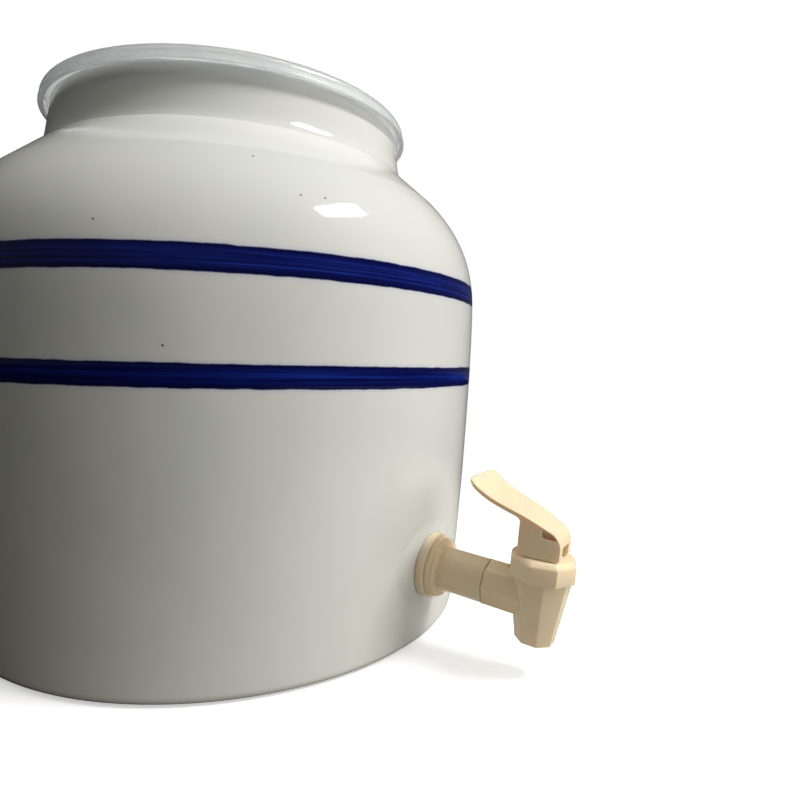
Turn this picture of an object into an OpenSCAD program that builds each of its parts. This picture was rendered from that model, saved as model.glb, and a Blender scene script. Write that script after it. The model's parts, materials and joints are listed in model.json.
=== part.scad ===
// Glazed water crock with a bottle ring on its rim and a lever tap low on its side.
// Millimetres. The origin is on the crock's axis, at the face it stands on. The tap points along -Y.

/* [Crock] */
// Radius of the crock at its widest
belly_r = 133; // [120:0.5:145]
// Height of the widest place above the base
belly_z = 150; // [135:1:165]
// How much the wall draws in between the belly and the foot
foot_taper = 7; // [4:0.5:10]
// Rounding of the edge under the foot
foot_round = 4; // [2:0.5:7]
// Height of the curved shoulder
shoulder_h = 58.5; // [50:0.5:66]
// How much the curved shoulder draws in
shoulder_in = 21; // [16:0.5:26]
// Height of the plain cone between shoulder and neck
cone_h = 16.5; // [13:0.5:20]
// How much the cone draws in
cone_in = 19.5; // [15:0.5:22]
// Height of the neck
neck_h = 25; // [22:0.5:32]
// How much the neck draws in up to the rim
neck_in = 4.3; // [2:0.1:6]
// Rounding of the rim's two edges
rim_round = 3; // [1.5:0.25:3.5]
// Thickness of the wall
wall = 8; // [7:0.25:10]
// Thickness of the floor
floor_t = 9; // [6:0.5:14]
// Rounding inside, between floor and wall
floor_round = 16; // [8:1:24]

/* [Painted bands] */
// Height of the middle of the lower band
lower_band_z = 122.9; // [112:0.1:134]
// Width of the lower band
lower_band_w = 8.5; // [5:0.5:12]
// Height of the middle of the upper band
upper_band_z = 163.6; // [156:0.1:172]
// Width of the upper band
upper_band_w = 9.4; // [5:0.2:11]
// Depth of the coloured glaze
band_depth = 0.3; // [0.2:0.05:0.6]

/* [Bottle ring] */
// Thickness of the ring's plastic
ring_t = 2; // [1.5:0.1:2.6]
// Gap between the neck and the ring's outer skirt
ring_skirt_gap = 2; // [1:0.1:3]
// How far the outer skirt hangs below the rim
ring_skirt_drop = 3.2; // [2:0.1:6]
// How far the inner skirt reaches into the neck
ring_inner_drop = 12; // [8:0.5:16]
// Gap between the inner skirt and the neck's bore
ring_inner_gap = 0.8; // [0.5:0.1:1.5]
// Rounding of the ring's upper outer edge
ring_round = 4.2; // [3:0.1:5]
// How far the bead on the skirt's edge stands out
ring_bead = 0.5; // [0.2:0.05:0.8]

/* [Tap on the wall] */
// Height of the tap's hole in the wall
tap_z = 37.4; // [32:0.1:50]
// How far the tap leans down from level, in degrees
tap_droop = 4; // [2:0.1:5]
// Radius of the flat pads around the hole
pad_r = 16.5; // [15.75:0.05:20]
// How far the outer pad stands out of the wall
pad_h = 1; // [0.6:0.1:2]
// Gap between the shank's thread and the hole
hole_gap = 0.8; // [0.4:0.1:1.5]
// Radius of the outer washer
outer_washer_r = 14.5; // [13.8:0.05:15.5]
// Thickness of the outer washer
outer_washer_t = 3.8; // [2:0.1:5]
// Thickness of the inner washer
inner_washer_t = 3; // [2:0.1:5]
// Thickness of the lock nut
nut_t = 8; // [6:0.5:11]
// Size of the lock nut across its flats
nut_flats = 27; // [25:0.5:28]
// Thread left showing behind the nut
thread_spare = 4; // [2:0.5:8]
// Pitch of the thread
thread_pitch = 2; // [1.5:0.25:2.5]
// Depth of the thread
thread_depth = 0.7; // [0.4:0.05:0.9]

/* [Shank] */
// Outer radius of the shank's thread
thread_r = 9.2; // [8.8:0.1:9.4]
// Radius of the shank's bore
shank_bore_r = 6; // [5.2:0.1:6.4]
// Radius of the flange against the outer washer
flange_r = 13.3; // [12.9:0.1:13.7]
// Thickness of the flange
flange_t = 4; // [2.5:0.1:5]
// Fillet between flange and tube
flange_fillet = 3; // [2:0.1:3.2]
// Outer radius of the tube
tube_r = 9.5; // [9.3:0.05:9.7]
// Length of the tube, from the flange's face to its end
tube_l = 21.2; // [18:0.1:26]
// Radius of the socket in the tube's end
socket_r = 7.5; // [7.2:0.05:7.8]
// Depth of that socket
socket_l = 9; // [7.5:0.25:10]

/* [Tap body] */
// Size of the eight-sided arm across its corners
arm_corners = 20.6; // [19.6:0.1:21]
// Distance from the tube's end to the outlet's axis
arm_l = 22.7; // [20:0.1:28]
// Gap between the arm's ridge and the bonnet
bonnet_room = 0.2; // [0.1:0.05:0.5]
// Bevel where the arm meets the tube
arm_bevel = 1.5; // [0.8:0.1:2]
// Radius of the bore in spigot and arm
arm_bore_r = 5; // [4.4:0.1:5.2]
// Size of the eight-sided outlet across its corners, at the top
outlet_top_corners = 26; // [25.4:0.1:26.6]
// The same at its lower end
outlet_low_corners = 16.6; // [15.6:0.1:18]
// Height of the bonnet's lower edge above the arm's axis
bonnet_low = 9.4; // [8:0.1:11]
// Depth of the outlet's lower end below the arm's axis
outlet_drop = 18.3; // [17:0.1:22]
// Radius of the outlet's bore
outlet_bore_r = 4.5; // [4:0.1:4.8]
// Depth of the valve seat below the arm's axis
seat_drop = 7; // [6.6:0.1:7.6]
// Height of the seat's raised ring
seat_h = 1; // [0.6:0.1:1.4]
// Radius of the throat under the seat
throat_r = 5; // [4.8:0.05:5.1]
// Depth of that throat below the seat
throat_h = 2.2; // [1.8:0.1:3]
// Radius of the valve chamber
chamber_r = 7.5; // [7.2:0.05:7.7]
// Outer radius of the round neck inside the bonnet
body_neck_r = 10.6; // [10:0.1:11]
// Height of that neck above the bonnet's lower edge
body_neck_h = 4.2; // [3:0.1:6]

/* [Bonnet] */
// Size of the bonnet across its corners
bonnet_corners = 28.2; // [27.4:0.1:30]
// Height of the bonnet
bonnet_h = 9.1; // [8.4:0.1:11]
// Bevel around its top
bonnet_bevel = 1.7; // [0.8:0.1:2.2]
// How far its flats are turned away from the outlet's, in degrees
bonnet_turn = 18.9; // [0:0.1:45]
// Thickness of the gasket under it
gasket_t = 0.8; // [0.5:0.1:1.2]
// Depth of the O-ring's recess
gland_depth = 1.8; // [1.6:0.1:2.2]

/* [Stem, spring and seal] */
// Radius of the stem
stem_r = 2.5; // [2.2:0.05:2.7]
// Running clearance around the stem and the pin
running_gap = 0.05; // [0.03:0.01:0.08]
// Radius of the collar that the spring pushes on
collar_r = 5.5; // [5.3:0.05:5.9]
// Thickness of that collar
collar_t = 1.5; // [1:0.1:2]
// Radius of the valve seal
seal_r = 6.2; // [5.8:0.05:6.6]
// Height of the valve seal
seal_h = 5; // [4.8:0.1:5.4]
// Gap between seal and seat, and between seal and collar
seal_gap = 0.2; // [0.1:0.05:0.3]
// Radius of the knob on the stem's foot
foot_knob_r = 3.3; // [3:0.05:3.6]
// Height of that knob
foot_knob_h = 1.4; // [1:0.1:1.8]
// Depth of the seal that the knob reaches
foot_depth = 3.4; // [3:0.1:3.8]
// Radius of the spring's wire
wire_r = 0.45; // [0.35:0.05:0.55]
// Number of turns of the spring
spring_turns = 6; // [4:1:8]
// Thickness of the gland washer
gland_washer_t = 1.2; // [0.8:0.1:1.6]

/* [Lever] */
// Width of the lever at its front
lever_w = 15.2; // [14.4:0.1:17]
// Length of the block in front of the pin
block_front = 8.6; // [8:0.1:9.4]
// Length of the block behind the pin
block_back = 8.1; // [7.9:0.1:9]
// Height of the pin above the block's foot
pin_h = 7; // [6.4:0.1:8]
// Radius of the rocking edge at the back of the foot
cam_r = 4; // [3.4:0.1:4.4]
// Gap between the block's foot and the bonnet
lever_gap = 0.3; // [0.2:0.05:0.5]
// Reach of the paddle behind the pin
paddle_l = 31; // [26:0.5:40]
// Width of the paddle at its end
paddle_w = 27.2; // [22:0.2:30]
// How far each side bows outwards between front and end
paddle_bow = 0.75; // [0:0.05:1.2]
// Height of the paddle's top above the foot, at the pin
paddle_z = 13.85; // [13.6:0.05:15]
// Rise of the paddle per millimetre, at the pin
paddle_rise = 0.46; // [0.3:0.01:0.5]
// How far the paddle dips below that rise, carried on to its end
paddle_dip = 7.5; // [0:0.1:8]
// How far the curl lifts its end again
paddle_curl = 7.85; // [0:0.05:9]
// Thickness of the paddle
paddle_t = 2; // [1.8:0.1:3]
// Rounding of the paddle's corners
paddle_round = 3; // [1:0.25:4]
// Rounding of the edge at the front of the foot
front_round = 1.4; // [0.8:0.1:2]
// Radius of the rounded front
nose_r = 7.8; // [6.5:0.1:8]
// Width of the slot between the cheeks
slot_w = 8; // [7:0.1:9]
// Thickness of the wall behind the slot
slot_wall = 1.7; // [1.2:0.1:2]
// Room above the stem's head
head_gap = 0.8; // [0.6:0.1:1.4]
// Height of the slot's opening in the front
slot_h = 5.3; // [4.4:0.1:7.5]
// Depth of the hollow in the outside of each cheek
pocket_d = 2; // [1:0.1:2.4]
// Height of the hollow's lower edge above the foot
pocket_z = 8.6; // [8.4:0.1:9.4]
// Rounding of the hollow's inner corner
pocket_round = 1.5; // [0.8:0.1:1.8]
// Thickness left above the hollow
pocket_roof = 1; // [0.8:0.1:1.4]
// How far behind the pin the hollow reaches
pocket_back = -0.3; // [-1:0.1:0.6]
// Radius of the pin
pin_r = 1.2; // [1:0.05:1.4]
// Length of the pin
pin_l = 11.4; // [10.6:0.1:12]
// Thickness of the boss around the pin
boss_wall = 2; // [1.4:0.1:2.4]
// Gap between the stem and the bosses around the pin
boss_gap = 0.2; // [0.1:0.05:0.3]

/* [Colours] */
// Glaze of the crock
glaze_color = [0.84, 0.84, 0.80];
// Painted bands
cobalt_color = [0.04, 0.07, 0.42];
// Bottle ring
ring_color = [0.78, 0.83, 0.86];
// Moulded tap parts
cream_color = [0.93, 0.85, 0.70];
// Soft washers and seals
seal_color = [0.80, 0.78, 0.72];
// Spring and pin
steel_color = [0.72, 0.73, 0.75];

/* [Hidden] */
$fn = 96;

// A hair's overlap that joins pieces of one solid
joint = 0.01;
// Room that a cutting tool runs past a face
past = 1;
// Small gap between two pieces that are pressed or screwed together
fit_gap = 0.05;
// Width of the seal that overhangs the seat's ring
seat_edge = 0.2;
// Gap between washer and thread
washer_gap = 0.3;
// Small bevel on turned and moulded edges
edge = 0.4;
// Gap between the rim and the ring that lies on it
ring_seat_gap = 0.3;
// Rise of the ring's crown above the thickness of its plastic
ring_crown = 1.6;
// Width of the ring's flat crown
ring_crown_w = 1.4;
// Bevel on the ring's inner edges
ring_edge = 0.5;
// Bevel on the lock nut's corners
nut_bevel = 1.2;

foot_power = 1.6;
shoulder_power = 2.8;

shoulder_z = belly_z + shoulder_h;
neck_z = shoulder_z + cone_h;
rim_z = neck_z + neck_h;
shoulder_r = belly_r - shoulder_in;
neck_r = shoulder_r - cone_in;
rim_r = neck_r - neck_in;

// Distances along the tap's own axis, counted outwards from the wall's face
washer_s = pad_h;
flange_s = washer_s + outer_washer_t;
tube_s = flange_s + flange_t;
tube_end_s = tube_s + tube_l;
outlet_s = tube_end_s + arm_l;
inner_pad_s = -wall - pad_r * pad_r / (2 * (side_r(tap_z) - wall));
nut_s = inner_pad_s - inner_washer_t;
thread_end_s = nut_s - nut_t - thread_spare;

// Heights in the tap, counted from the arm's axis
seat_z = -seat_drop;
body_top_z = bonnet_low + body_neck_h;
bonnet_under_z = body_top_z + gasket_t;
bonnet_top_z = bonnet_low + bonnet_h;
gland_low_z = bonnet_under_z - gland_washer_t;
seal_low_z = seat_z + seal_gap;
seal_top_z = seal_low_z + seal_h;
collar_z = seal_top_z + seal_gap;
foot_z = seal_top_z - foot_depth;
knob_top_z = foot_z + foot_knob_h;
spring_low_z = collar_z + collar_t;
lever_foot_z = bonnet_top_z + lever_gap;
pin_z = lever_foot_z + pin_h;

oring_wire_r = gland_depth / 2 - fit_gap;
oring_r = stem_r + running_gap + oring_wire_r;
gland_r = oring_r + oring_wire_r + fit_gap;
coil_r = collar_r - wire_r - fit_gap;
groove_r = socket_r - fit_gap - 1.3;
groove_w = 2;
groove_at = 3;
spigot_l = socket_l - 0.5;
slot_back = block_back - slot_wall;
// Middle of the lever's rounded front, and the direction in which its arc runs out
nose_at = nose_r - block_front;
nose_z = paddle_top(nose_at) - nose_r * sqrt(1 + paddle_rise * paddle_rise);
nose_end = 90 + atan(paddle_rise);
boss_r = pin_r + boss_wall;
socket_pin_l = pin_l / 2 + boss_gap;

// Radius of the outside at a height, from the foot to the top of the shoulder
function side_r(z) = z <= belly_z
    ? belly_r - foot_taper * pow((belly_z - z) / belly_z, foot_power)
    : belly_r - shoulder_in * pow((z - belly_z) / shoulder_h, shoulder_power);
function side_slope(z) = (side_r(z + 0.01) - side_r(z - 0.01)) / 0.02;

// Points up the outside between two heights, sunk by a depth
function side_points(z0, z1, steps, sunk = 0) = [
    for (i = [0:steps])
        let (z = z0 + (z1 - z0) * i / steps)
            [side_r(z) - sunk, z]
];

// A point of the inside, one wall's thickness behind the outside
function inner_point(z) =
    let (slope = side_slope(z), n = sqrt(1 + slope * slope))
        [side_r(z) - wall / n, z + wall * slope / n];

function arc(centre, r, from, to, steps) = [
    for (i = [0:steps])
        let (a = from + (to - from) * i / steps)
            [centre[0] + r * cos(a), centre[1] + r * sin(a)]
];

function reverse(list) = [for (i = [len(list) - 1:-1:0]) list[i]];

function crock_outside() = concat(
    arc([side_r(foot_round) - foot_round, foot_round], foot_round, -90, 0, 5),
    side_points(foot_round + 4, lower_band_z - lower_band_w / 2, 9),
    side_points(lower_band_z - lower_band_w / 2, lower_band_z + lower_band_w / 2, 2, band_depth),
    side_points(lower_band_z + lower_band_w / 2, upper_band_z - upper_band_w / 2, 4),
    side_points(upper_band_z - upper_band_w / 2, upper_band_z + upper_band_w / 2, 3, band_depth),
    side_points(upper_band_z + upper_band_w / 2, shoulder_z, 11),
    [[neck_r, neck_z]],
    arc([rim_r - rim_round, rim_z - rim_round], rim_round, 0, 90, 4)
);

function crock_inside() =
    let (
        cone_slope = cone_in / cone_h,
        n = sqrt(1 + cone_slope * cone_slope),
        cone_z = shoulder_z - wall * cone_slope / n,
        bore_r = rim_r - wall,
        crease_z = cone_z + (shoulder_r - wall / n - bore_r) / cone_slope,
        low_z = floor_t + floor_round,
        steps = 12
    )
    concat(
        arc([bore_r + rim_round, rim_z - rim_round], rim_round, 90, 180, 4),
        [[bore_r, crease_z]],
        [for (i = [0:steps]) inner_point(shoulder_z - (shoulder_z - low_z) * i / steps)],
        arc([inner_point(low_z)[0] - floor_round, low_z], floor_round, -5, -90, 6)
    );

// Puts the tap's own frame on the wall: -Y points out along the shank, +Z up the outlet
module on_wall() {
    translate([0, -side_r(tap_z), tap_z])
        rotate([tap_droop, 0, 0])
            children();
}

// A solid of revolution along the shank, whose profile is given as [distance out, radius]
module turned(profile) {
    rotate([90, 0, 0])
        rotate_extrude()
            polygon([for (p = profile) [p[1], p[0]]]);
}

module shank_cylinder(from, to, r, sides = 96) {
    translate([0, -from, 0])
        rotate([90, 0, 0])
            rotate([0, 0, 90])
                cylinder(h = to - from, r = r, $fn = sides);
}

module at_outlet() {
    translate([0, -outlet_s, 0])
        children();
}

module tube_ring(low, high, outer, inner) {
    difference() {
        translate([0, 0, low])
            cylinder(h = high - low, r = outer);
        translate([0, 0, low - past])
            cylinder(h = high - low + 2 * past, r = inner);
    }
}

module crock() {
    color(glaze_color)
        difference() {
            union() {
                rotate_extrude($fn = 180)
                    polygon(concat([[0, 0]], crock_outside(), crock_inside(), [[0, floor_t]]));
                on_wall()
                    turned([
                        [-wall / 2, 0], [-wall / 2, pad_r], [pad_h - edge, pad_r],
                        [pad_h, pad_r - edge], [pad_h, 0]
                    ]);
                on_wall()
                    shank_cylinder(inner_pad_s, -wall / 2, pad_r);
            }
            on_wall()
                shank_cylinder(inner_pad_s - 3 * past, pad_h + past, thread_r + hole_gap);
        }
}

module painted_band(z, w) {
    steps = 3;
    color(cobalt_color)
        rotate_extrude($fn = 180)
            polygon(concat(
                side_points(z - w / 2, z + w / 2, steps),
                reverse(side_points(z - w / 2, z + w / 2, steps, band_depth))
            ));
}

module lower_band() {
    painted_band(lower_band_z, lower_band_w);
}

module upper_band() {
    painted_band(upper_band_z, upper_band_w);
}

// Sits on the rim like a channel turned over, with a sloped seat for the bottle's shoulder
module bottle_ring() {
    seat_z = rim_z + ring_seat_gap;
    top_z = seat_z + ring_t + ring_crown;
    skirt_in = rim_r + ring_skirt_gap;
    skirt_out = skirt_in + ring_t;
    skirt_low = rim_z - ring_skirt_drop;
    inner_out = rim_r - wall - ring_inner_gap;
    inner_in = inner_out - ring_t;
    color(ring_color, 0.75)
        rotate_extrude($fn = 180)
            polygon(concat(
                [
                    [skirt_in, skirt_low],
                    [skirt_out + ring_bead * 0.6, skirt_low],
                    [skirt_out + ring_bead, skirt_low + ring_bead],
                    [skirt_out + ring_bead * 0.6, skirt_low + 2 * ring_bead],
                    [skirt_out, skirt_low + 2.4 * ring_bead]
                ],
                arc([skirt_out - ring_round, top_z - ring_round], ring_round, 0, 90, 6),
                [
                    [skirt_out - ring_round - ring_crown_w, top_z],
                    [inner_in + 3 * ring_edge, seat_z + 2 * ring_edge],
                    [inner_in + ring_edge, seat_z],
                    [inner_in, seat_z - 2 * ring_edge],
                    [inner_in, rim_z - ring_inner_drop + ring_edge],
                    [inner_in + ring_edge, rim_z - ring_inner_drop],
                    [inner_out, rim_z - ring_inner_drop],
                    [inner_out, seat_z],
                    [skirt_in, seat_z]
                ]
            ));
}

module outer_washer() {
    corner = 1.5 * edge;
    bore = thread_r + washer_gap;
    color(cream_color)
        on_wall()
            turned(concat(
                [[washer_s, bore], [washer_s, outer_washer_r - corner]],
                [[washer_s + corner, outer_washer_r], [flange_s - corner, outer_washer_r]],
                [[flange_s, outer_washer_r - corner], [flange_s, bore]]
            ));
}

// Ridges of the thread, from the shank's inner end up to the wall's hole
function thread_profile() =
    let (turns = floor((flange_s - thread_end_s - 1) / thread_pitch))
        [
            for (i = [0:turns - 1], k = [0:1])
                let (s = thread_end_s + edge + (i + k / 2) * thread_pitch)
                    [s, k == 0 ? thread_r - thread_depth : thread_r]
        ];

module shank() {
    color(cream_color)
        on_wall()
            difference() {
                turned(concat(
                    [[thread_end_s, 0], [thread_end_s, thread_r - thread_depth]],
                    thread_profile(),
                    [[flange_s - edge, thread_r - thread_depth], [flange_s, thread_r - thread_depth]],
                    [[flange_s, flange_r - edge], [flange_s + edge, flange_r]],
                    [[tube_s - 1.5 * edge, flange_r], [tube_s, flange_r - 1.5 * edge]],
                    [
                        for (p = arc([0, 0], flange_fillet, 0, -90, 5))
                            [tube_s + flange_fillet - p[0], tube_r + flange_fillet + p[1]]
                    ],
                    [[tube_end_s - edge, tube_r], [tube_end_s, tube_r - edge], [tube_end_s, 0]]
                ));
                shank_cylinder(thread_end_s - past, tube_end_s + past, shank_bore_r);
                shank_cylinder(tube_end_s - socket_l, tube_end_s + past, socket_r);
            }
}

module inner_washer() {
    color(seal_color)
        on_wall()
            difference() {
                shank_cylinder(nut_s, inner_pad_s, pad_r - 1);
                shank_cylinder(nut_s - past, inner_pad_s + past, thread_r + washer_gap);
            }
}

module lock_nut() {
    corner_r = nut_flats / 2 / cos(30);
    color(cream_color)
        on_wall()
            difference() {
                intersection() {
                    shank_cylinder(nut_s - nut_t, nut_s, corner_r, 6);
                    turned([
                        [nut_s - nut_t, 0], [nut_s - nut_t, corner_r - nut_bevel],
                        [nut_s - nut_t + nut_bevel, corner_r + edge],
                        [nut_s, corner_r + edge], [nut_s, 0]
                    ]);
                }
                shank_cylinder(nut_s - nut_t - past, nut_s + past, thread_r + fit_gap);
            }
}

// Eight-sided arm and outlet with the valve seat inside
module tap_body() {
    arm_r = arm_corners / 2;
    color(cream_color)
        on_wall()
            difference() {
                union() {
                    difference() {
                        shank_cylinder(tube_end_s + arm_bevel, outlet_s, arm_r, 8);
                        at_outlet()
                            translate([0, 0, bonnet_low])
                                cylinder(h = arm_r, r = bonnet_corners / 2 + bonnet_room);
                    }
                    translate([0, -tube_end_s, 0])
                        rotate([90, 0, 0])
                            rotate([0, 0, 90])
                                cylinder(h = arm_bevel + joint, r1 = arm_r - arm_bevel,
                                    r2 = arm_r, $fn = 8);
                    shank_cylinder(tube_end_s - spigot_l, tube_end_s + past, socket_r - fit_gap);
                    at_outlet()
                        translate([0, 0, -outlet_drop])
                            rotate([0, 0, 22.5])
                                cylinder(h = outlet_drop + bonnet_low, r1 = outlet_low_corners / 2,
                                    r2 = outlet_top_corners / 2, $fn = 8);
                    at_outlet()
                        translate([0, 0, bonnet_low - joint])
                            cylinder(h = body_neck_h + joint, r = body_neck_r);
                }
                shank_cylinder(tube_end_s - spigot_l - past, outlet_s, arm_bore_r);
                translate([0, -(tube_end_s - spigot_l + groove_at), 0])
                    rotate([90, 0, 0])
                        tube_ring(0, groove_w, socket_r + past, groove_r);
                at_outlet() {
                    translate([0, 0, seat_z - seat_h])
                        cylinder(h = body_top_z - seat_z + seat_h + past, r = chamber_r);
                    translate([0, 0, seat_z - throat_h])
                        cylinder(h = throat_h, r = throat_r);
                    translate([0, 0, -outlet_drop - past])
                        cylinder(h = outlet_drop + past, r = outlet_bore_r);
                }
            }
    color(cream_color)
        on_wall()
            at_outlet()
                tube_ring(seat_z - seat_h - joint, seat_z, seal_r - seat_edge, throat_r);
}

module spigot_oring() {
    wire = (socket_r - groove_r) / 2 - fit_gap;
    color(seal_color)
        on_wall()
            translate([0, -(tube_end_s - spigot_l + groove_at + groove_w / 2), 0])
                rotate([90, 0, 0])
                    rotate_extrude()
                        translate([(socket_r + groove_r) / 2, 0])
                            circle(r = wire, $fn = 32);
}

module bonnet() {
    corner_r = bonnet_corners / 2;
    color(cream_color)
        on_wall()
            at_outlet()
                difference() {
                    rotate([0, 0, bonnet_turn + 22.5])
                        union() {
                            translate([0, 0, bonnet_low])
                                cylinder(h = bonnet_h - bonnet_bevel, r = corner_r, $fn = 8);
                            translate([0, 0, bonnet_top_z - bonnet_bevel - joint])
                                cylinder(h = bonnet_bevel + joint, r1 = corner_r,
                                    r2 = corner_r - bonnet_bevel, $fn = 8);
                        }
                    translate([0, 0, bonnet_low - past])
                        cylinder(h = bonnet_under_z - bonnet_low + past, r = body_neck_r + fit_gap);
                    translate([0, 0, bonnet_under_z - past])
                        cylinder(h = gland_depth + past, r = gland_r);
                    translate([0, 0, bonnet_under_z])
                        cylinder(h = bonnet_h, r = stem_r + running_gap);
                }
}

module bonnet_gasket() {
    color(seal_color)
        on_wall()
            at_outlet()
                tube_ring(body_top_z, bonnet_under_z, body_neck_r - 0.1, chamber_r + 0.1);
}

module gland_washer() {
    color(cream_color)
        on_wall()
            at_outlet()
                tube_ring(gland_low_z, bonnet_under_z, chamber_r - 0.1, stem_r + running_gap);
}

module stem_oring() {
    color(seal_color)
        on_wall()
            at_outlet()
                translate([0, 0, bonnet_under_z + gland_depth / 2])
                    rotate_extrude()
                        translate([oring_r, 0])
                            circle(r = oring_wire_r, $fn = 32);
}

// Round wire swept along a helix between the stem's collar and the gland washer
module return_spring() {
    sides = 8;
    rings_per_turn = 14;
    low = spring_low_z + wire_r + fit_gap;
    high = gland_low_z - wire_r - fit_gap;
    rings = spring_turns * rings_per_turn;
    lead = atan((high - low) / (spring_turns * 2 * PI * coil_r));
    points = [
        for (i = [0:rings], k = [0:sides - 1])
            let (
                turn = 360 * i / rings_per_turn,
                side = 360 * k / sides,
                across = wire_r * cos(side),
                up = wire_r * sin(side)
            )
            [
                (coil_r + across) * cos(turn) + up * sin(lead) * sin(turn),
                (coil_r + across) * sin(turn) - up * sin(lead) * cos(turn),
                low + (high - low) * i / rings + up * cos(lead)
            ]
    ];
    skin = [
        for (i = [0:rings - 1], k = [0:sides - 1], half = [0:1])
            let (
                a = i * sides + k,
                b = i * sides + (k + 1) % sides,
                c = a + sides,
                d = b + sides
            )
            half == 0 ? [a, d, b] : [a, c, d]
    ];
    ends = [
        for (k = [1:sides - 2], end = [0:1])
            end == 0
                ? [0, k, k + 1]
                : [rings * sides, rings * sides + k + 1, rings * sides + k]
    ];
    color(steel_color)
        on_wall()
            at_outlet()
                polyhedron(points = points, faces = concat(skin, ends), convexity = 10);
}

// Rod with a collar for the spring, a knob that holds the seal, and a hole for the pin
module stem() {
    color(cream_color)
        on_wall()
            at_outlet()
                difference() {
                    union() {
                        translate([0, 0, foot_z])
                            cylinder(h = pin_z - foot_z, r = stem_r);
                        translate([0, 0, pin_z])
                            sphere(r = stem_r);
                        translate([0, 0, collar_z])
                            cylinder(h = collar_t, r = collar_r);
                        translate([0, 0, foot_z])
                            cylinder(h = foot_knob_h, r = foot_knob_r);
                    }
                    translate([-stem_r - past, 0, pin_z])
                        rotate([0, 90, 0])
                            cylinder(h = 2 * (stem_r + past), r = pin_r);
                }
}

// Soft plug on the stem's knob, with a nose that centres it in the outlet
module valve_seal() {
    nose = throat_r - edge;
    nose_low_z = seal_low_z - 3.5 * edge;
    cup = fit_gap;
    color(seal_color)
        on_wall()
            at_outlet()
                rotate_extrude()
                    polygon([
                        [0, nose_low_z], [nose * 0.5, nose_low_z],
                        [nose, seal_low_z - edge], [nose, seal_low_z],
                        [seal_r - edge, seal_low_z], [seal_r, seal_low_z + edge],
                        [seal_r, seal_top_z - edge], [seal_r - edge, seal_top_z],
                        [stem_r + cup, seal_top_z], [stem_r + cup, knob_top_z + cup],
                        [foot_knob_r + cup, knob_top_z + cup], [foot_knob_r + cup, foot_z - cup],
                        [0, foot_z - cup]
                    ]);
}

module lever_pin() {
    color(steel_color)
        on_wall()
            at_outlet()
                translate([-pin_l / 2, 0, pin_z])
                    rotate([0, 90, 0])
                        cylinder(h = pin_l, r = pin_r);
}

// Height of the paddle's top above the block's foot, at a distance behind the pin
function paddle_top(u) = paddle_z + paddle_rise * u - paddle_dip * pow(u / paddle_l, 2)
    + paddle_curl * pow(u / paddle_l, 4);

// Half the lever's width at a distance behind the pin
function lever_half(u) =
    let (q = (u + block_front) / (paddle_l + block_front))
        lever_w / 2 + (paddle_w - lever_w) / 2 * q + 4 * paddle_bow * q * (1 - q);

// Side of the lever, as [distance behind the pin, height above the foot]
module lever_side() {
    nose_to = nose_at - nose_r * sin(atan(paddle_rise));
    tip = paddle_t / 3;
    inner_corner = paddle_t / 2;
    steps = 14;
    polygon(concat(
        arc([front_round - block_front, front_round], front_round, -90, -180, 4),
        arc([nose_at, nose_z], nose_r, 180, nose_end, 6),
        [
            for (i = [1:steps])
                let (u = nose_to + (paddle_l - tip - nose_to) * i / steps)
                    [u, paddle_top(u)]
        ],
        [[paddle_l, paddle_top(paddle_l) - tip], [paddle_l, paddle_top(paddle_l) - 2 * tip]],
        [
            for (i = [0:steps])
                let (u = paddle_l - tip + (block_back + inner_corner - paddle_l + tip) * i / steps)
                    [u, paddle_top(u) - paddle_t]
        ],
        [[block_back, paddle_top(block_back) - paddle_t - inner_corner]],
        arc([block_back - cam_r, cam_r], cam_r, 0, -90, 6)
    ));
}

// The lever seen from above, flared towards the paddle's end
module lever_plan() {
    corner_u = paddle_l - paddle_round;
    steps = 6;
    half = concat(
        [[lever_w / 2, -block_front - past]],
        [
            for (i = [0:steps])
                let (u = -block_front + (corner_u + block_front) * i / steps)
                    [lever_half(u), u]
        ],
        arc([lever_half(corner_u) - paddle_round, corner_u], paddle_round, 18, 90, 4)
    );
    polygon(concat(half, [for (p = reverse(half)) [-p[0], p[1]]]));
}

module lever() {
    boss_in = stem_r + boss_gap;
    color(cream_color)
        on_wall()
            at_outlet()
                translate([0, 0, lever_foot_z])
                    difference() {
                        union() {
                            difference() {
                                intersection() {
                                    translate([-paddle_w, 0, 0])
                                        rotate([90, 0, 90])
                                            linear_extrude(height = 2 * paddle_w)
                                                lever_side();
                                    translate([0, 0, -past])
                                        linear_extrude(height = paddle_top(paddle_l) + 2 * past)
                                            lever_plan();
                                }
                                lever_slot();
                                for (side = [-1, 1])
                                    lever_pocket(side);
                            }
                            for (side = [-1, 1])
                                translate([side * (boss_in + slot_w / 2 + joint) / 2, 0, pin_h])
                                    rotate([0, 90, 0])
                                        cylinder(h = slot_w / 2 - boss_in + joint, r = boss_r,
                                            center = true);
                        }
                        translate([-socket_pin_l, 0, pin_h])
                            rotate([0, 90, 0])
                                cylinder(h = 2 * socket_pin_l, r = pin_r + running_gap);
                    }
}

// Open at the foot and at the front, and higher around the stem's head
module lever_slot() {
    head_room = pin_h + stem_r + head_gap;
    head_front = stem_r + 2 * head_gap;
    translate([-slot_w / 2, -block_front - past, -past])
        cube([slot_w, block_front + past + slot_back, slot_h + past]);
    translate([-slot_w / 2, -head_front, 0])
        cube([slot_w, head_front + slot_back, head_room]);
}

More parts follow.
